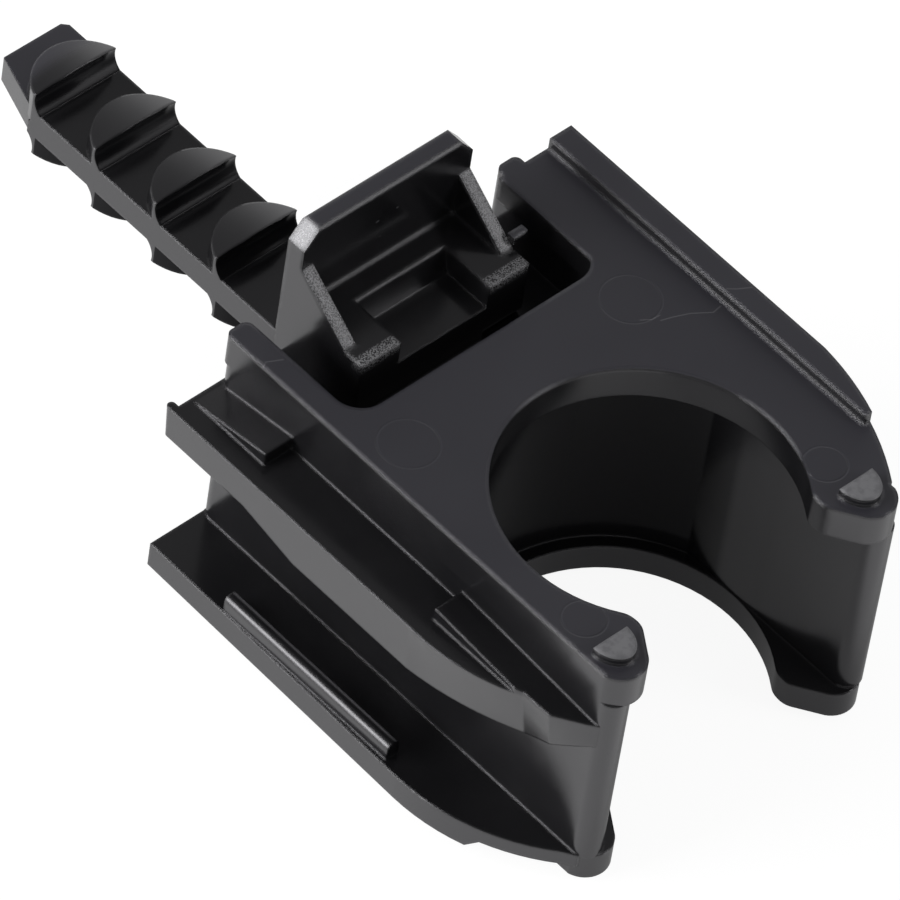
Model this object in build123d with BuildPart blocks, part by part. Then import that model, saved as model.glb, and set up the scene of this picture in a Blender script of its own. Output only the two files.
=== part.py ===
from build123d import *
import math
import os

os.makedirs("parts", exist_ok=True)

# Ring that grips the conduit
BORE_R = 10.0
MOUTH_HALF = 7.8
NECK_IN = 0.1
NECK_DROP = 1.15
TOE_OUT = 1.5
TOE_DROP = 2.2
NOSE_IN = 1.5
NOSE_DROP = 1.25
CHEEK_Y = -9.0
NECK_ROUND = 1.5

# Body plates and walls
HALF_W = 12.3
BACK_Y = 25.5
BASE_T = 2.0
TOP_Z = 19.1
TOP_T = 2.5
WALL_GAP = 0.1
RECESS_GAP = 1.0
RING_T = 2.0
BACK_CORNER = 0.5
WALL_CORNER = 0.9

# Raised pips on the four lugs
PIP_CENTRE = (10.4, -7.3)
PIP_HALF_W = 1.4
PIP_DROP = 1.9
PIP_RISE = 0.7

# Pocket behind the ring, open at the back
POCKET_SIDE_T = 1.85
POCKET_FRONT_Y = 15.4
POCKET_CORNER = 2.0
POCKET_END_R = 0.6
POCKET_FLOOR_Z = 13.8
FLOOR_T = 2.0

# Hollow underside of the back, split by a middle rib
RIB_T = 2.0

# Left flange at mid height, drafted inwards towards its underside
MID_TOP_Z = 14.5
MID_LOW_Z = 10.4
MID_BACK_Z = 11.65
MID_FRONT_Z = 12.6
MID_REACH = 3.9
MID_DRAFT = 0.75
MID_BACK_DRAFT = 0.3
MID_STRAIGHT_Y = 3.6
MID_VIA = (3.4, -1.2)
MID_SHOULDER = (2.05, -4.6)
MID_TOE = (1.9, -6.8)
MID_FRONT_Y = -9.3
MID_LIP_W = 0.6
MID_LIP = 0.6
MID_SLOPE_BACK_Y = 18.7
MID_SLOPE_FRONT_Y = 14.0
MID_KEEL_Y = -4.6

# Catch ramps on the left flange
RAMP_REACH = 2.3
RAMP_RISE = 1.0
RAMP_BACK_START_Y = 25.2
RAMP_BACK_STEP_Y = 18.7
RAMP_FRONT_STEP_Y = 3.2
RAMP_FRONT_END_Y = -8.6

# Left flange at the base with a standing rib
LOW_TOP_Z = 2.2
LOW_T = 2.0
LOW_BACK_REACH = 4.3
LOW_REACH = 4.7
LOW_BACK_Y = 25.35
LOW_STRAIGHT_Y = 2.0
LOW_VIA = (3.95, -2.9)
LOW_END = (0.6, -8.6)
LOW_FRONT_Y = -9.5
LOW_RAISE = 0.85
LOW_RAISE_Y = -3.5
KEY_REACH = 3.8
KEY_W = 1.0
KEY_TOP_Z = 3.5
KEY_BACK_Y = 18.5
KEY_FRONT_Y = 3.4
KEY_ROUND = 0.45

# Right flange that laps over the next clip
LAP_STEP_REACH = 2.0
LAP_STEP_Y = -4.1
LAP_REACH = 3.85
LAP_TOP_Z = 20.0
LAP_T = 2.9
LAP_BACK_Y = 24.7
LAP_STRAIGHT_Y = 1.5
LAP_VIA = (2.55, -4.1)
LAP_END = (0.2, -8.5)
HOOK_BOTTOM_Z = 14.7
HOOK_T = 1.2
HOOK_GAP = 0.3

# Right foot flange
FOOT_TOP_Z = 4.6
FOOT_T = 2.0

# Upright tab with its bracket
TAB_FRONT_Y = 24.65
TAB_BACK_Y = 26.1
TAB_HALF = 7.1
TAB_TOP_Z = 25.2
TAB_CHAMFER_W = 1.15
TAB_CHAMFER_H = 1.4
TAB_EDGE_R = 0.25
CHEEK_T = 0.95
CHEEK_TOP_Z = 22.1
CHEEK_FRONT_Y = 20.1
ARM_IN_X = 3.75
ARM_TOP_Z = 18.6
ARM_FRONT_Y = 18.6
ARM_FOOT_R = 0.8
STEP_Y = 22.9
STEP_FOOT_Y = 22.2
STEP_PLATE_Z = 16.7
STUB_OUT = 1.2
STUB_FRONT_Y = 20.15
STUB_BACK_Y = 20.75
STUB_LOW_Z = 18.9
STUB_TOP_Z = 19.5

# Flat dowel
DOWEL_HALF = 3.42
DOWEL_TOP_Z = 9.73
DOWEL_T = 2.1
DOWEL_TIP_Y = 57.1
TIP_BEVEL_Y = 52.4
TIP_BEVEL_X = -1.83
TIP_CHAMFER = 0.4

# Barbs on the dowel
BARB_COUNT = 4
BARB_PITCH = 5.77
BARB_FACE_Y = 52.3
BARB_DEPTH = 2.65
BARB_SIDE = 0.3
BARB_RISE = 2.15
BARB_CROWN = 0.65
BARB_FALL = 13.0
LOW_BARB_FALL = -5.0
BARB_FOOT = 0.5
BARB_HOLLOW = 0.1
BARB_HOLLOW_RISE = 0.85
BARB_RIM = 0.25

MOUTH_Y = -math.sqrt(BORE_R**2 - MOUTH_HALF**2)
NECK = (MOUTH_HALF - NECK_IN, MOUTH_Y - NECK_DROP)
TOE = (NECK[0] + TOE_OUT, NECK[1] - TOE_DROP)
NOSE = (HALF_W - NOSE_IN, CHEEK_Y - NOSE_DROP)
INNER_X = BORE_R + WALL_GAP
WALL_END = (HALF_W - INNER_X) / 2
RECESS_R = BORE_R + RECESS_GAP
POCKET_HALF = HALF_W - POCKET_SIDE_T
RING_OUT_R = RECESS_R + RING_T
WEB_TOP_Z = TOP_Z - TOP_T
FLOOR_LOW_Z = POCKET_FLOOR_Z - FLOOR_T
LOW_LOW_Z = LOW_TOP_Z - LOW_T
LAP_LOW_Z = LAP_TOP_Z - LAP_T
LAP_STEP_X = HALF_W + LAP_STEP_REACH
LAP_OUT_X = HALF_W + LAP_REACH
HOOK_FRONT_Y = RAMP_FRONT_STEP_Y + HOOK_GAP
HOOK_BACK_Y = RAMP_BACK_STEP_Y - HOOK_GAP
DOWEL_ROOT_Y = RECESS_R + RING_T / 2
DOWEL_LOW_Z = DOWEL_TOP_Z - DOWEL_T
DOWEL_MID_Z = DOWEL_TOP_Z - DOWEL_T / 2
BARB_H = DOWEL_T / 2 + BARB_RISE
BARB_END_H = BARB_H - BARB_CROWN


def flip(point):
    return (-point[0], point[1])


def beside(offset, draft=0.0):
    """A point of the left flanges, given by its reach from the wall."""
    return (-HALF_W - offset[0] + draft, offset[1])


def chord_y(radius, half_width):
    return math.sqrt(radius**2 - half_width**2)


def lug_front(side):
    """Front outline of one lug, from the outer wall round to the bore."""
    place = flip if side < 0 else tuple
    ThreePointArc(place((HALF_W, CHEEK_Y)), place(NOSE), place(TOE))
    Polyline(place(TOE), place(NECK), place((MOUTH_HALF, MOUTH_Y)))


def mid_edges(draft, back_draft):
    """Outline of the left flange at mid height, set in by a draft."""
    out_x = -HALF_W - MID_REACH + back_draft
    lip_x = out_x + MID_LIP_W
    lip_y = BACK_Y + MID_LIP - MID_LIP_W / 2
    Polyline(
        (-INNER_X, MID_FRONT_Y),
        (-HALF_W, MID_FRONT_Y),
        beside(MID_TOE, draft),
        beside(MID_SHOULDER, draft),
    )
    ThreePointArc(
        beside(MID_SHOULDER, draft),
        beside(MID_VIA, draft),
        (out_x, MID_STRAIGHT_Y),
    )
    Line((out_x, MID_STRAIGHT_Y), (out_x, lip_y))
    ThreePointArc((out_x, lip_y), (out_x + MID_LIP_W / 2, BACK_Y + MID_LIP), (lip_x, lip_y))
    Polyline(
        (lip_x, lip_y),
        (lip_x, BACK_Y),
        (-INNER_X, BACK_Y),
        (-INNER_X, MID_FRONT_Y),
    )


# Outline of both plates, with the open bore
with BuildSketch() as plate_outline:
    with BuildLine():
        Polyline((HALF_W, CHEEK_Y), (HALF_W, BACK_Y), (-HALF_W, BACK_Y), (-HALF_W, CHEEK_Y))
        lug_front(-1)
        lug_front(1)
        ThreePointArc((-MOUTH_HALF, MOUTH_Y), (0, BORE_R), (MOUTH_HALF, MOUTH_Y))
    make_face()
    fillet(plate_outline.vertices().group_by(Axis.Y)[-1], BACK_CORNER)
    fillet(
        [
            plate_outline.vertices().sort_by_distance((*place(corner), 0))[0]
            for corner in (NECK, (MOUTH_HALF, MOUTH_Y))
            for place in (tuple, flip)
        ],
        NECK_ROUND,
    )

# Outline of the wall between the plates, set back from the bore, with round ends
with BuildSketch() as web_outline:
    with BuildLine():
        Polyline((HALF_W, CHEEK_Y), (HALF_W, BACK_Y), (-HALF_W, BACK_Y), (-HALF_W, CHEEK_Y))
        for side in (-1, 1):
            ThreePointArc(
                (side * HALF_W, CHEEK_Y),
                (side * (INNER_X + WALL_END), CHEEK_Y - WALL_END),
                (side * INNER_X, CHEEK_Y),
            )
            Line((side * INNER_X, CHEEK_Y), (side * INNER_X, chord_y(RECESS_R, INNER_X)))
        ThreePointArc(
            (-INNER_X, chord_y(RECESS_R, INNER_X)),
            (0, RECESS_R),
            (INNER_X, chord_y(RECESS_R, INNER_X)),
        )
    make_face()
    fillet(web_outline.vertices().group_by(Axis.Y)[-1], WALL_CORNER)

# Outline of one back hollow, between the ring wall, side wall and middle rib
with BuildSketch() as hollow_outline:
    with BuildLine():
        Polyline(
            (INNER_X, chord_y(RING_OUT_R, INNER_X)),
            (INNER_X, BACK_Y),
            (RIB_T / 2, BACK_Y),
            (RIB_T / 2, chord_y(RING_OUT_R, RIB_T / 2)),
        )
        RadiusArc(
            (RIB_T / 2, chord_y(RING_OUT_R, RIB_T / 2)),
            (INNER_X, chord_y(RING_OUT_R, INNER_X)),
            RING_OUT_R,
        )
    make_face()

# Outline of the flanges on the right
with BuildSketch() as lap_outline:
    with BuildLine():
        lap_end = (HALF_W + LAP_END[0], LAP_END[1])
        Polyline(
            (LAP_OUT_X, LAP_STRAIGHT_Y),
            (LAP_OUT_X, LAP_BACK_Y),
            (INNER_X, LAP_BACK_Y),
            (INNER_X, LAP_END[1]),
            lap_end,
        )
        ThreePointArc(
            lap_end,
            (HALF_W + LAP_VIA[0], LAP_VIA[1]),
            (LAP_OUT_X, LAP_STRAIGHT_Y),
        )
    make_face()

# Left flange at mid height, thin at the back and rising to a thin front end
with BuildPart() as mid_flange:
    with BuildSketch(Plane.XY.offset(MID_LOW_Z)):
        with BuildLine():
            mid_edges(MID_DRAFT, MID_BACK_DRAFT)
        make_face()
    with BuildSketch(Plane.XY.offset(MID_TOP_Z)) as mid_top:
        with BuildLine():
            mid_edges(0, 0)
        make_face()
    loft(ruled=True)
    with BuildSketch(Plane.YZ.offset(-HALF_W - MID_REACH)):
        with BuildLine():
            Polyline(
                (BACK_Y + MID_LIP, MID_TOP_Z),
                (BACK_Y + MID_LIP, MID_BACK_Z),
                (MID_SLOPE_BACK_Y, MID_BACK_Z),
                (MID_SLOPE_FRONT_Y, MID_LOW_Z),
                (MID_KEEL_Y, MID_LOW_Z),
                (MID_FRONT_Y, MID_FRONT_Z),
                (MID_FRONT_Y, MID_TOP_Z),
                (BACK_Y + MID_LIP, MID_TOP_Z),
            )
        make_face()
    extrude(amount=MID_REACH + HALF_W, mode=Mode.INTERSECT)

# Two ramps that lock the next clip, trimmed to the left flange
with BuildPart() as ramps:
    with BuildSketch(Plane.YZ.offset(-HALF_W - RAMP_REACH)):
        for start_y, step_y in (
            (RAMP_BACK_START_Y, RAMP_BACK_STEP_Y),
            (RAMP_FRONT_END_Y, RAMP_FRONT_STEP_Y),
        ):
            with BuildLine():
                Polyline(
                    (start_y, MID_TOP_Z),
                    (step_y, MID_TOP_Z + RAMP_RISE),
                    (step_y, MID_TOP_Z),
                    (start_y, MID_TOP_Z),
                )
            make_face()
    extrude(amount=RAMP_REACH + HALF_W - INNER_X)
    with BuildSketch(Plane.XY.offset(MID_TOP_Z)):
        add(mid_top.sketch)
    extrude(amount=RAMP_RISE, mode=Mode.INTERSECT)

# Left flange at the base, cut up at its front, with its standing rib
with BuildPart() as low_flange:
    with BuildSketch(Plane.XY.offset(LOW_LOW_Z)):
        with BuildLine():
            Polyline((-INNER_X, LOW_FRONT_Y), (-HALF_W, LOW_FRONT_Y), beside(LOW_END))
            ThreePointArc(
                beside(LOW_END),
                beside(LOW_VIA),
                beside((LOW_REACH, LOW_STRAIGHT_Y)),
            )
            Polyline(
                beside((LOW_REACH, LOW_STRAIGHT_Y)),
                beside((LOW_BACK_REACH, LOW_BACK_Y)),
                (-INNER_X, LOW_BACK_Y),
                (-INNER_X, LOW_FRONT_Y),
            )
        make_face()
    extrude(amount=LOW_T)
    with BuildSketch(Plane.YZ.offset(-HALF_W - LOW_REACH)):
        with BuildLine():
            Polyline(
                (LOW_RAISE_Y, LOW_LOW_Z),
                (LOW_RAISE_Y - LOW_RAISE, LOW_LOW_Z + LOW_RAISE),
                (LOW_FRONT_Y, LOW_LOW_Z + LOW_RAISE),
                (LOW_FRONT_Y, LOW_LOW_Z),
                (LOW_RAISE_Y, LOW_LOW_Z),
            )
        make_face()
    extrude(amount=LOW_REACH + HALF_W, mode=Mode.SUBTRACT)
    with BuildSketch(Plane.XZ.offset(-KEY_BACK_Y)) as key_end:
        with Locations((-HALF_W - KEY_REACH, (LOW_LOW_Z + KEY_TOP_Z) / 2)):
            Rectangle(KEY_W, KEY_TOP_Z - LOW_LOW_Z)
        fillet(key_end.vertices().group_by(Axis.Z)[-1], KEY_ROUND)
    extrude(amount=KEY_BACK_Y - KEY_FRONT_Y)

# One barb: a round nose behind a hollow face, crowned across and falling to its nose
def barb_shape(fall):
    with BuildPart() as barb:
        with BuildSketch():
            with BuildLine():
                ThreePointArc((-DOWEL_HALF, BARB_SIDE), (0, BARB_DEPTH), (DOWEL_HALF, BARB_SIDE))
                Polyline(
                    (DOWEL_HALF, BARB_SIDE),
                    (DOWEL_HALF, -BARB_FOOT),
                    (-DOWEL_HALF, -BARB_FOOT),
                    (-DOWEL_HALF, BARB_SIDE),
                )
            make_face()
        extrude(amount=2 * BARB_H)
        with BuildSketch(Plane.XZ.rotated((-fall, 0, 0))):
            with BuildLine():
                ThreePointArc((-DOWEL_HALF, BARB_END_H), (0, BARB_H), (DOWEL_HALF, BARB_END_H))
                Polyline(
                    (DOWEL_HALF, BARB_END_H),
                    (DOWEL_HALF, -BARB_H),
                    (-DOWEL_HALF, -BARB_H),
                    (-DOWEL_HALF, BARB_END_H),
                )
            make_face()
        extrude(amount=2 * BARB_DEPTH, both=True, mode=Mode.INTERSECT)
        with BuildSketch(Plane.YZ):
            with BuildLine():
                ThreePointArc(
                    (-BARB_FOOT, DOWEL_T / 2),
                    (BARB_HOLLOW, DOWEL_T / 2 + BARB_HOLLOW_RISE),
                    (-BARB_RIM, BARB_H),
                )
                Polyline(
                    (-BARB_RIM, BARB_H),
                    (-BARB_RIM, 2 * BARB_H),
                    (-2 * BARB_FOOT, 2 * BARB_H),
                    (-2 * BARB_FOOT, DOWEL_T / 2),
                    (-BARB_FOOT, DOWEL_T / 2),
                )
            make_face()
        extrude(amount=DOWEL_HALF, both=True, mode=Mode.SUBTRACT)
    return barb.part


with BuildPart() as clip:
    # Bottom plate, wall and top plate
    add(plate_outline.sketch)
    extrude(amount=BASE_T)
    with BuildSketch(Plane.XY.offset(BASE_T)):
        add(web_outline.sketch)
    extrude(amount=WEB_TOP_Z - BASE_T)
    with BuildSketch(Plane.XY.offset(WEB_TOP_Z)):
        add(plate_outline.sketch)
    extrude(amount=TOP_T)

    # Pips on the lugs, above and below
    with BuildSketch(Plane.XY.offset(-PIP_RISE)) as pips:
        with Locations(PIP_CENTRE, flip(PIP_CENTRE)):
            Ellipse(PIP_HALF_W, PIP_DROP)
            with Locations((0, PIP_DROP)):
                Rectangle(2 * PIP_HALF_W, 2 * PIP_DROP, mode=Mode.SUBTRACT)
    extrude(amount=BASE_T + PIP_RISE)
    with BuildSketch(Plane.XY.offset(WEB_TOP_Z)):
        add(pips.sketch)
    extrude(amount=TOP_T + PIP_RISE)

    # Back hollows under the pocket floor
    with BuildSketch(Plane.XY.offset(BASE_T)):
        add(hollow_outline.sketch)
        mirror(hollow_outline.sketch, about=Plane.YZ)
    extrude(amount=FLOOR_LOW_Z - BASE_T, mode=Mode.SUBTRACT)

    # Pocket
    with BuildSketch(Plane.XY.offset(TOP_Z)) as pocket:
        with Locations((0, (POCKET_FRONT_Y + BACK_Y) / 2)):
            Rectangle(2 * POCKET_HALF, BACK_Y - POCKET_FRONT_Y)
        fillet(pocket.vertices().group_by(Axis.Y)[0], POCKET_CORNER)
    extrude(amount=POCKET_FLOOR_Z - TOP_Z, mode=Mode.SUBTRACT)
    fillet(
        [
            clip.edges().filter_by(Axis.Z).sort_by_distance((x, BACK_Y, TOP_Z))[0]
            for x in (-POCKET_HALF, POCKET_HALF)
        ],
        POCKET_END_R,
    )

    # Left flanges
    add(mid_flange.part)
    add(ramps.part)
    add(low_flange.part)

    # Right flange with its raised edge and hook
    with BuildSketch(Plane.XY.offset(LAP_LOW_Z)):
        add(lap_outline.sketch)
    extrude(amount=TOP_Z - LAP_LOW_Z)
    with BuildSketch(Plane.XY.offset(TOP_Z)):
        add(lap_outline.sketch)
        with Locations(((LAP_STEP_X + LAP_OUT_X) / 2, (LAP_STEP_Y + LAP_BACK_Y) / 2)):
            Rectangle(LAP_OUT_X - LAP_STEP_X, LAP_BACK_Y - LAP_STEP_Y, mode=Mode.INTERSECT)
    extrude(amount=LAP_TOP_Z - TOP_Z)
    with BuildSketch(Plane.XY.offset(HOOK_BOTTOM_Z)):
        with Locations((LAP_OUT_X - HOOK_T / 2, (HOOK_FRONT_Y + HOOK_BACK_Y) / 2)):
            Rectangle(HOOK_T, HOOK_BACK_Y - HOOK_FRONT_Y)
    extrude(amount=LAP_LOW_Z - HOOK_BOTTOM_Z)

    # Right foot flange
    with BuildSketch(Plane.XY.offset(FOOT_TOP_Z - FOOT_T)):
        add(lap_outline.sketch)
    extrude(amount=FOOT_T)

    # Upright tab, closing the back as a plate
    with BuildSketch(Plane.XZ.offset(-TAB_BACK_Y)) as tab_face:
        with Locations((0, (DOWEL_LOW_Z + TAB_TOP_Z) / 2)):
            Rectangle(2 * TAB_HALF, TAB_TOP_Z - DOWEL_LOW_Z)
        chamfer(tab_face.vertices().group_by(Axis.Z)[-1], TAB_CHAMFER_H, TAB_CHAMFER_W)
    extrude(amount=TAB_BACK_Y - TAB_FRONT_Y)
    fillet(clip.edges().filter_by(Axis.X).group_by(Axis.Z)[-1], TAB_EDGE_R)

    # Cheeks and arms of the bracket, the arms' feet rounded at one corner each
    for side in (-1, 1):
        with BuildSketch(Plane.YZ.offset(side * TAB_HALF)):
            with BuildLine():
                Polyline(
                    (TAB_FRONT_Y, POCKET_FLOOR_Z),
                    (TAB_FRONT_Y, CHEEK_TOP_Z),
                    (CHEEK_FRONT_Y, ARM_TOP_Z),
                    (CHEEK_FRONT_Y, POCKET_FLOOR_Z),
                    (TAB_FRONT_Y, POCKET_FLOOR_Z),
                )
            make_face()
        extrude(amount=-side * CHEEK_T)
        with BuildSketch(Plane.YZ.offset(side * ARM_IN_X)) as arm_side:
            with Locations(((ARM_FRONT_Y + TAB_FRONT_Y) / 2, (POCKET_FLOOR_Z + ARM_TOP_Z) / 2)):
                Rectangle(TAB_FRONT_Y - ARM_FRONT_Y, ARM_TOP_Z - POCKET_FLOOR_Z)
            feet = arm_side.vertices().group_by(Axis.Y)[0].sort_by(Axis.X)
            fillet(feet[-1] if side < 0 else feet[0], ARM_FOOT_R)
        extrude(amount=side * (TAB_HALF - ARM_IN_X))

    # Ledge and lower plate between the arms, joined by a sloping wall
    with BuildSketch(Plane.YZ):
        with BuildLine():
            Polyline(
                (ARM_FRONT_Y, POCKET_FLOOR_Z),
                (ARM_FRONT_Y, STEP_PLATE_Z),
                (STEP_FOOT_Y, STEP_PLATE_Z),
                (STEP_Y, ARM_TOP_Z),
                (TAB_FRONT_Y, ARM_TOP_Z),
                (TAB_FRONT_Y, POCKET_FLOOR_Z),
                (ARM_FRONT_Y, POCKET_FLOOR_Z),
            )
        make_face()
    extrude(amount=ARM_IN_X, both=True)

    # Stub on the right cheek
    with BuildSketch(Plane.XY.offset(STUB_LOW_Z)):
        with Locations((TAB_HALF + STUB_OUT / 2, (STUB_FRONT_Y + STUB_BACK_Y) / 2)):
            Rectangle(STUB_OUT, STUB_BACK_Y - STUB_FRONT_Y)
    extrude(amount=STUB_TOP_Z - STUB_LOW_Z)

    # Flat dowel, beveled at its tip
    with BuildSketch(Plane.XY.offset(DOWEL_LOW_Z)):
        with BuildLine():
            Polyline(
                (-DOWEL_HALF, DOWEL_ROOT_Y),
                (DOWEL_HALF, DOWEL_ROOT_Y),
                (DOWEL_HALF, DOWEL_TIP_Y - TIP_CHAMFER),
                (DOWEL_HALF - TIP_CHAMFER, DOWEL_TIP_Y),
                (TIP_BEVEL_X, DOWEL_TIP_Y),
                (-DOWEL_HALF, TIP_BEVEL_Y),
                (-DOWEL_HALF, DOWEL_ROOT_Y),
            )
        make_face()
    extrude(amount=DOWEL_T)

    # Barbs, upper and lower
    for step in range(BARB_COUNT):
        place = Location((0, BARB_FACE_Y - step * BARB_PITCH, DOWEL_MID_Z))
        add(barb_shape(BARB_FALL).moved(place))
        add(barb_shape(LOW_BARB_FALL).rotate(Axis.X, 180).moved(place))

clip.part.label = "conduit_clip"
export_step(clip.part, "parts/conduit_clip.step")
print(clip.part.bounding_box())
print("solids", len(clip.part.solids()))
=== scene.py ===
import math

import bpy
from mathutils import Matrix, Vector


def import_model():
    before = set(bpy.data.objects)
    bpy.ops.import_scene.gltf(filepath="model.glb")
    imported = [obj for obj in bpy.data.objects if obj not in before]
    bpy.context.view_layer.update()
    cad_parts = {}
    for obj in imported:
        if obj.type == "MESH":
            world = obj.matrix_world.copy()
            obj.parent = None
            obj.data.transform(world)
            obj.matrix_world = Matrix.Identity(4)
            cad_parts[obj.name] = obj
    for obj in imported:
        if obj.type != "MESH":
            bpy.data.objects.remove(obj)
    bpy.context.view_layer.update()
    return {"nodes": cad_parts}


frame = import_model()

MM = 0.001
BODY = "conduit_clip"
WHITE = (1, 1, 1, 1)

# Camera, fitted to the photograph
CAM_AZIMUTH = math.radians(-49.808)
CAM_ELEVATION = math.radians(48.740)
CAM_ROLL = math.radians(9.5553)
CAM_PLACE = Vector((-0.37102, -0.29700, 0.56138))
CAM_SENSOR = 36
CAM_LENS = 11774.88 / 900 * CAM_SENSOR
CAM_CLIP = (0.01, 10)

# Colours of the plastic: deep gloss, satin faces, and a pale colour for rubbed patches,
# dust, scratches and the painted glint highlights
DEEP = (0.0080, 0.0079, 0.0088, 1)
SATIN = (0.0235, 0.0229, 0.0305, 1)
CHALK = (0.30, 0.30, 0.31, 1)
TINT = (0.975, 0.965, 1.0, 1)
IOR = 1.75

# Roughness, and how much gloss is left on faces where shade is painted by taking most of
# their gloss away
GLOSSY = (0.15, 0.26)
SATINY = (0.42, 0.5)
EDGE_ROUGH = 0.2
RUBBED_ROUGH = 0.6
FULL_GLOSS = 0.5
SHADE_GLOSS = 0.06

# Noises: scale per metre and detail
CLOUD = (160.0, 3.0)
PEEL = (750.0, 1.0)
FINE = (2600.0, 2.0)
GRAIN = (10500.0, 0.0)
CLOUD_RANGE = (0.3, 0.75)

# Heights of the bumps, in metres
GLOSS_BUMP = 0.4e-6
SATIN_BUMP = 1.2e-6
PEEL_BUMP = 3.0e-6
PIN_BUMP = -24.0e-6

# Rounding of the edges by shading, wider high up on the part
EDGE_R = 0.25 * MM
TOP_EDGE_R = 0.45 * MM
TOP_EDGES_FROM = 17.5 * MM
EDGE_RANGE = (0.995, 0.93)
EDGE_SAMPLES = 3

# Fades in millimetres: upper plate, dowel tip, and the ring's recess
PLATE_Z = (18.95, 19.05)
TIP_Y = (53.0, 54.5)
RECESS_NEAR = (10.15, 10.3)
RECESS_FAR = (14.0, 12.8)
RECESS_Y = (-3.0, 5.0)
RECESS_TOP = 16.4
BARBS_Y = 27.0

# Which way faces look for each of these, as ranges of one part of their normal
PLATE_UP = (0.96, 0.995)
TIP_UP = (0.7, 0.9)
RECESS_UP = (0.4, 0.2)
BARBS_FACE = (-0.15, -0.3)
CHEEKS_FACE = (-0.15, -0.4)
CORNER_SIDE = (-0.2, -0.5)

# Pale, rubbed patches: low and high corners in millimetres
TAB_CORNER = ((-7.3, 24.4, 23.75), (-5.9, 26.3, 25.15))
CHEEKS = (
    ((-7.2, 20.0, 18.7), (-6.1, 24.62, 22.2)),
    ((6.1, 20.0, 18.7), (7.2, 24.62, 22.2)),
)
LIPS = (
    ((-7.2, 18.4, 17.4), (-3.7, 19.5, 18.8)),
    ((3.7, 18.4, 17.4), (7.2, 19.5, 18.8)),
)
LIPS_Z = (17.6, 18.5)
LIPS_SOFT = 0.3
SPECK_RANGE = (0.36, 0.68)
SPECK_SHARE = (0.05, 0.9)

# Painted highlights: small pale glints on the tab's front, put into the base colour
GLINTS = (
    ((-0.95, 24.4, 22.3), (-0.6, 24.9, 22.5)),
    ((0.75, 24.4, 22.5), (1.0, 24.9, 22.7)),
    ((-0.45, 24.4, 20.65), (-0.2, 24.9, 20.8)),
)
GLINT_SOFT = 0.1

# Worn tops of the pips on the lugs
PIPS = (
    ((-12.0, -9.4, 19.7), (-8.7, -7.2, 19.9)),
    ((8.7, -9.4, 19.7), (12.0, -7.2, 19.9)),
)
WORN_RANGE = (0.3, 0.6)
WORN_SHARE = (0.40, 0.56)

# Round marks of the mould's pins on the upper plate: centre and radius
PINS = (
    ((-9.3, 11.95), 2.0),
    ((9.8, 12.3), 2.0),
    ((-10.2, -4.9), 1.43),
    ((10.2, -4.9), 1.43),
)
PIN_WIDTH = 0.12

# Fine scratches on the upper plate
SCRATCHES = (
    ((9.1, 10.65), (9.7, 10.25), (10.35, 10.2)),
    ((10.1, 9.85), (10.9, 9.6), (12.0, 9.15), (13.2, 8.35), (13.9, 8.45)),
    ((14.6, 8.75), (15.1, 8.35), (15.9, 7.9)),
    ((-13.0, 21.6), (-11.9, 22.2), (-10.9, 21.7)),
)
SCRATCH_WIDTH = 0.07
SCRATCH_SHARE = 0.22

# Dust: cells per metre, radius in millimetres, share of cells with a speck
DUST = (330.0, 0.07, 0.12)
# How far the dust specks and the painted glint highlights go towards the pale colour
DUST_AND_GLINT_SHARE = 0.25

# Floor with a painted glow: it gives off light like lit paper, strongly where the part
# leaves it open and weakly under the part
FLOOR_Z = -0.72 * MM
FLOOR_HALF = 3.0
FLOOR_COLOUR = (0.93, 0.93, 0.93, 1)
FLOOR_ROUGH = 0.9
GLOW = 1.12
GLOW_UNDER = 0.1
GLOW_BESIDE = 0.62
GLOW_SEEN = 0.82

# Where the floor turns open and its painted glow turns strong: axis, and the fade in
# millimetres
OPEN_FLOOR = ((0, -9, -17), (1, -12, -20), (1, 27, 38))

# Sky: heights of its fade, strengths in reflections, and the plain strength
SKY_Z = (0.1, 0.7)
SKY_GLOSS = (0.8, 0.18)
SKY_PLAIN = 0.3
SKY_SEEN = 1.0

# Lamps: name, direction, size in metres and power in watts
LAMP_TARGET = Vector((0, 0.02, 0.01))
LAMP_DISTANCE = 0.9
LAMPS = (
    ("left", (-0.78, 0.45, 0.30), (0.8, 0.46), 9.2),
    ("front", (0.52, -0.76, 0.38), (0.4, 0.5), 2.0),
)


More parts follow.
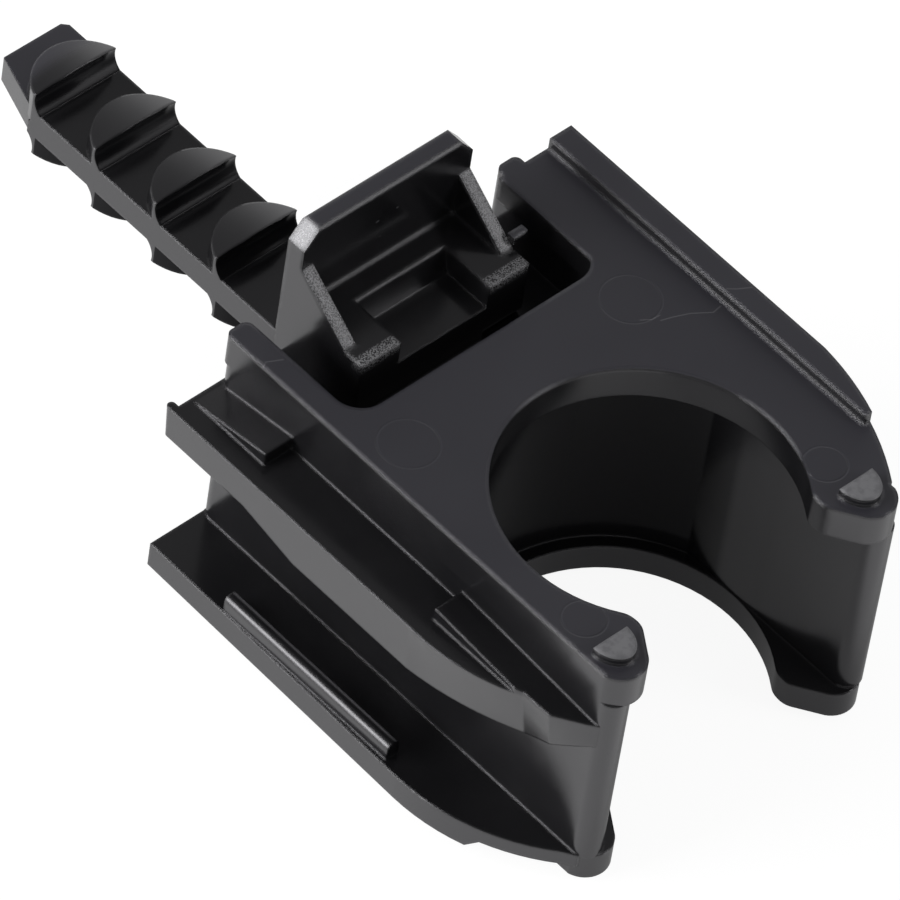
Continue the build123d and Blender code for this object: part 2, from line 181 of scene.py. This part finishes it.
class Graph:
    """A node tree, with short helpers."""

    def __init__(self, tree):
        self.tree = tree

    def node(self, kind, **props):
        n = self.tree.nodes.new(kind)
        for key, value in props.items():
            setattr(n, key, value)
        return n

    def link(self, a, b):
        self.tree.links.new(a, b)

    def feed(self, socket, value):
        if isinstance(value, bpy.types.NodeSocket):
            self.link(value, socket)
        else:
            socket.default_value = value

    def math(self, op, a, b=0.0, clamp=False):
        n = self.node("ShaderNodeMath", operation=op, use_clamp=clamp)
        self.feed(n.inputs[0], a)
        self.feed(n.inputs[1], b)
        return n.outputs[0]

    def times(self, *values):
        total = values[0]
        for value in values[1:]:
            total = self.math("MULTIPLY", total, value)
        return total

    def most(self, values):
        total = values[0]
        for value in values[1:]:
            total = self.math("MAXIMUM", total, value)
        return total

    def vec(self, op, a, b=(0, 0, 0)):
        n = self.node("ShaderNodeVectorMath", operation=op)
        self.feed(n.inputs[0], a)
        self.feed(n.inputs[1], b)
        scalar = op in ("LENGTH", "DOT_PRODUCT", "DISTANCE")
        return n.outputs["Value" if scalar else "Vector"]

    def split(self, vector):
        n = self.node("ShaderNodeSeparateXYZ")
        self.link(vector, n.inputs[0])
        return n.outputs

    def ramp(self, value, low, high, to=(0.0, 1.0)):
        n = self.node("ShaderNodeMapRange", interpolation_type="SMOOTHSTEP")
        self.feed(n.inputs["Value"], value)
        n.inputs["From Min"].default_value = low
        n.inputs["From Max"].default_value = high
        n.inputs["To Min"].default_value = to[0]
        n.inputs["To Max"].default_value = to[1]
        return n.outputs["Result"]

    def fade(self, value, low, high):
        """A ramp between two places given in millimetres."""
        return self.ramp(value, low * MM, high * MM)

    def noise(self, where, scale, detail):
        n = self.node("ShaderNodeTexNoise")
        self.link(where, n.inputs["Vector"])
        n.inputs["Scale"].default_value = scale
        n.inputs["Detail"].default_value = detail
        return n.outputs["Fac"]

    def blend(self, fac, a, b, kind="FLOAT"):
        n = self.node("ShaderNodeMix", data_type=kind)
        self.feed(n.inputs["Factor"], fac)
        self.feed(n.inputs["A"], a)
        self.feed(n.inputs["B"], b)
        return n.outputs["Result"]

    def mix(self, fac, a, b):
        return self.blend(fac, a, b, "RGBA")

    def box(self, where, low, high, soft=0.05):
        """1 inside a box given in millimetres, fading over its soft border."""
        centre = [(a + b) / 2 * MM for a, b in zip(low, high)]
        half = [(b - a) / 2 * MM for a, b in zip(low, high)]
        off = self.vec("ABSOLUTE", self.vec("SUBTRACT", where, centre))
        x, y, z = self.split(self.vec("SUBTRACT", off, half))
        return self.ramp(self.most([x, y, z]), 0.0, -soft * MM)

    def ring(self, where, centre, radius, width):
        """1 on a circle around a vertical axis, given in millimetres."""
        off = self.vec("SUBTRACT", where, [c * MM for c in (*centre, 0)])
        reach = self.vec("LENGTH", self.flat(off))
        miss = self.math("ABSOLUTE", self.math("SUBTRACT", reach, radius * MM))
        return self.ramp(miss, width * MM, 0.0)

    def flat(self, vector):
        return self.vec("MULTIPLY", vector, (1, 1, 0))

    def line(self, where, points, width):
        """1 along a chain of points seen from above, given in millimetres."""
        flat = self.flat(where)
        near = None
        for a, b in zip(points, points[1:]):
            start = Vector((*a, 0)) * MM
            run = Vector((*b, 0)) * MM - start
            off = self.vec("SUBTRACT", flat, start)
            along = self.vec("DOT_PRODUCT", off, run)
            share = self.math("DIVIDE", along, run.length_squared, True)
            n = self.node("ShaderNodeVectorMath", operation="SCALE")
            n.inputs[0].default_value = run
            self.feed(n.inputs["Scale"], share)
            miss = self.vec("DISTANCE", off, n.outputs["Vector"])
            near = miss if near is None else self.math("MINIMUM", near, miss)
        return self.ramp(near, width * MM, 0.0)

    def spots(self, where, scale, radius, share):
        """Sparse round specks, of a radius in millimetres."""
        n = self.node("ShaderNodeTexVoronoi")
        self.link(where, n.inputs["Vector"])
        n.inputs["Scale"].default_value = scale
        pick = self.split(n.outputs["Color"])[0]
        dot = self.ramp(n.outputs["Distance"], radius * MM * scale, 0.0)
        return self.times(dot, self.math("GREATER_THAN", pick, 1 - share))


def material(name):
    mat = bpy.data.materials.new(name)
    mat.use_nodes = True
    return mat, Graph(mat.node_tree), mat.node_tree.nodes["Principled BSDF"]


def add(name, data):
    obj = bpy.data.objects.new(name, data)
    bpy.context.collection.objects.link(obj)
    return obj


def camera():
    data = bpy.data.cameras.new("camera")
    data.sensor_width = CAM_SENSOR
    data.lens = CAM_LENS
    data.clip_start, data.clip_end = CAM_CLIP
    obj = add("camera", data)
    ca, sa = math.cos(CAM_AZIMUTH), math.sin(CAM_AZIMUTH)
    ce, se = math.cos(CAM_ELEVATION), math.sin(CAM_ELEVATION)
    cr, sr = math.cos(CAM_ROLL), math.sin(CAM_ROLL)
    right = Vector((ca, sa, 0))
    back = Vector((sa * ce, -ca * ce, se))
    down = (-back).cross(right)
    x = cr * right - sr * down
    y = -(sr * right + cr * down)
    turn = Matrix((x, y, back)).transposed().to_4x4()
    obj.matrix_world = Matrix.Translation(CAM_PLACE) @ turn
    bpy.context.scene.camera = obj


def plastic():
    mat, g, shader = material("black_plastic")
    where = g.node("ShaderNodeTexCoord").outputs["Object"]
    normal = g.node("ShaderNodeNewGeometry").outputs["Normal"]
    side, face, up = g.split(normal)
    _, y, z = g.split(where)
    cloud, peel, fine, grain = [g.noise(where, *n) for n in (CLOUD, PEEL, FINE, GRAIN)]

    # Round edges
    bevel = g.node("ShaderNodeBevel", samples=EDGE_SAMPLES)
    high = g.math("GREATER_THAN", z, TOP_EDGES_FROM)
    g.link(g.blend(high, EDGE_R, TOP_EDGE_R), bevel.inputs["Radius"])
    turned = g.vec("DOT_PRODUCT", bevel.outputs["Normal"], normal)
    edge = g.ramp(turned, *EDGE_RANGE)

    # Satin on the upper plate and the dowel's tip, gloss everywhere else
    plate = g.fade(z, *PLATE_Z)
    tip = g.times(g.fade(y, *TIP_Y), g.ramp(up, *TIP_UP))
    satin = g.most([g.times(g.ramp(up, *PLATE_UP), plate), tip])
    glossy = g.ramp(cloud, *CLOUD_RANGE, GLOSSY)
    satiny = g.ramp(cloud, *CLOUD_RANGE, SATINY)
    rough = g.blend(edge, g.blend(satin, glossy, satiny), EDGE_ROUGH)

    # Painted shade: the wall in the ring's recess and the faces under the barbs lose most of
    # their gloss, so they stay dark
    reach = g.vec("LENGTH", g.flat(where))
    recess = g.times(
        g.fade(reach, *RECESS_NEAR),
        g.fade(reach, *RECESS_FAR),
        g.fade(y, *RECESS_Y),
        g.math("LESS_THAN", z, RECESS_TOP * MM),
        g.ramp(up, *RECESS_UP),
    )
    barbs = g.times(g.math("GREATER_THAN", y, BARBS_Y * MM), g.ramp(face, *BARBS_FACE))
    gloss = g.blend(g.most([recess, barbs]), FULL_GLOSS, SHADE_GLOSS)

    # Pale, speckled patches and worn pips
    corner = g.times(g.box(where, *TAB_CORNER), g.ramp(side, *CORNER_SIDE))
    cheeks = g.times(
        g.ramp(face, *CHEEKS_FACE), g.most([g.box(where, *c) for c in CHEEKS])
    )
    lips = g.times(g.fade(z, *LIPS_Z), g.most([g.box(where, *c, LIPS_SOFT) for c in LIPS]))
    speck = g.times(g.most([corner, cheeks, lips]), g.ramp(grain, *SPECK_RANGE, SPECK_SHARE))
    worn = g.times(
        g.most([g.box(where, *c) for c in PIPS]), g.ramp(fine, *WORN_RANGE, WORN_SHARE)
    )

    # Pin marks, scratches, dust, and the painted highlights of the glints
    pins = g.most([g.ring(where, *pin, PIN_WIDTH) for pin in PINS])
    scratch = g.most([g.line(where, chain, SCRATCH_WIDTH) for chain in SCRATCHES])
    glints = [g.box(where, *c, GLINT_SOFT) for c in GLINTS]
    # The painted glint highlights join the dust specks in one mask of pale spots
    spots = g.most([g.spots(where, *DUST), *glints])
    pale = g.most([
        speck, worn, g.times(plate, scratch, SCRATCH_SHARE), g.times(spots, DUST_AND_GLINT_SHARE),
    ])

    g.link(g.mix(pale, g.mix(satin, DEEP, SATIN), CHALK), shader.inputs["Base Color"])
    g.link(g.blend(pale, rough, RUBBED_ROUGH), shader.inputs["Roughness"])
    g.link(gloss, shader.inputs["Specular IOR Level"])
    shader.inputs["IOR"].default_value = IOR
    shader.inputs["Specular Tint"].default_value = TINT

    height = g.times(g.blend(satin, fine, grain), g.blend(satin, GLOSS_BUMP, SATIN_BUMP))
    for part in (g.times(peel, PEEL_BUMP), g.times(plate, pins, PIN_BUMP)):
        height = g.math("ADD", height, part)
    bump = g.node("ShaderNodeBump")
    bump.inputs["Strength"].default_value = 1.0
    bump.inputs["Distance"].default_value = 1.0
    g.link(height, bump.inputs["Height"])
    g.link(bevel.outputs["Normal"], bump.inputs["Normal"])
    g.link(bump.outputs["Normal"], shader.inputs["Normal"])
    return mat


def floor():
    me = bpy.data.meshes.new("floor")
    s = FLOOR_HALF
    corners = [(-s, -s, FLOOR_Z), (s, -s, FLOOR_Z), (s, s, FLOOR_Z), (-s, s, FLOOR_Z)]
    me.from_pydata(corners, [], [(0, 1, 2, 3)])
    obj = add("floor", me)
    mat, g, shader = material("floor")
    shader.inputs["Base Color"].default_value = FLOOR_COLOUR
    shader.inputs["Roughness"].default_value = FLOOR_ROUGH
    shader.inputs["Specular IOR Level"].default_value = 0.0
    glow = g.node("ShaderNodeEmission")
    glow.inputs["Strength"].default_value = GLOW
    place = g.split(g.node("ShaderNodeTexCoord").outputs["Object"])
    # Painted glow: the floor gives off more light beside the part than under it
    beside = g.most([g.fade(place[axis], *ends) for axis, *ends in OPEN_FLOOR])
    seen = g.node("ShaderNodeLightPath").outputs["Is Camera Ray"]
    share = g.blend(seen, g.blend(beside, GLOW_UNDER, GLOW_BESIDE), GLOW_SEEN)
    mix = g.node("ShaderNodeMixShader")
    g.link(share, mix.inputs[0])
    g.link(shader.outputs[0], mix.inputs[1])
    g.link(glow.outputs[0], mix.inputs[2])
    g.link(mix.outputs[0], g.tree.nodes["Material Output"].inputs["Surface"])
    me.materials.append(mat)


def lamp(name, direction, size, power):
    """An area lamp that shines on the object from a direction."""
    data = bpy.data.lights.new(name, "AREA")
    data.shape = "RECTANGLE"
    data.size, data.size_y = size
    data.energy = power
    obj = add(name, data)
    way = Vector(direction).normalized()
    obj.location = LAMP_TARGET + way * LAMP_DISTANCE
    obj.rotation_mode = "QUATERNION"
    obj.rotation_quaternion = (-way).to_track_quat("-Z", "Y")


def world():
    """White around the horizon and dimmer overhead in reflections, even light otherwise."""
    w = bpy.data.worlds.new("studio")
    bpy.context.scene.world = w
    w.use_nodes = True
    g = Graph(w.node_tree)
    background = w.node_tree.nodes["Background"]
    background.inputs["Color"].default_value = WHITE
    path = g.node("ShaderNodeLightPath").outputs
    up = g.split(g.node("ShaderNodeTexCoord").outputs["Generated"])[2]
    light = g.blend(path["Is Glossy Ray"], SKY_PLAIN, g.ramp(up, *SKY_Z, SKY_GLOSS))
    g.link(g.blend(path["Is Camera Ray"], light, SKY_SEEN), background.inputs["Strength"])


camera()
world()
floor()
for row in LAMPS:
    lamp(*row)

body = frame["nodes"][BODY]
body.data.materials.clear()
body.data.materials.append(plastic())

scene = bpy.context.scene
scene.view_settings.view_transform = "Standard"
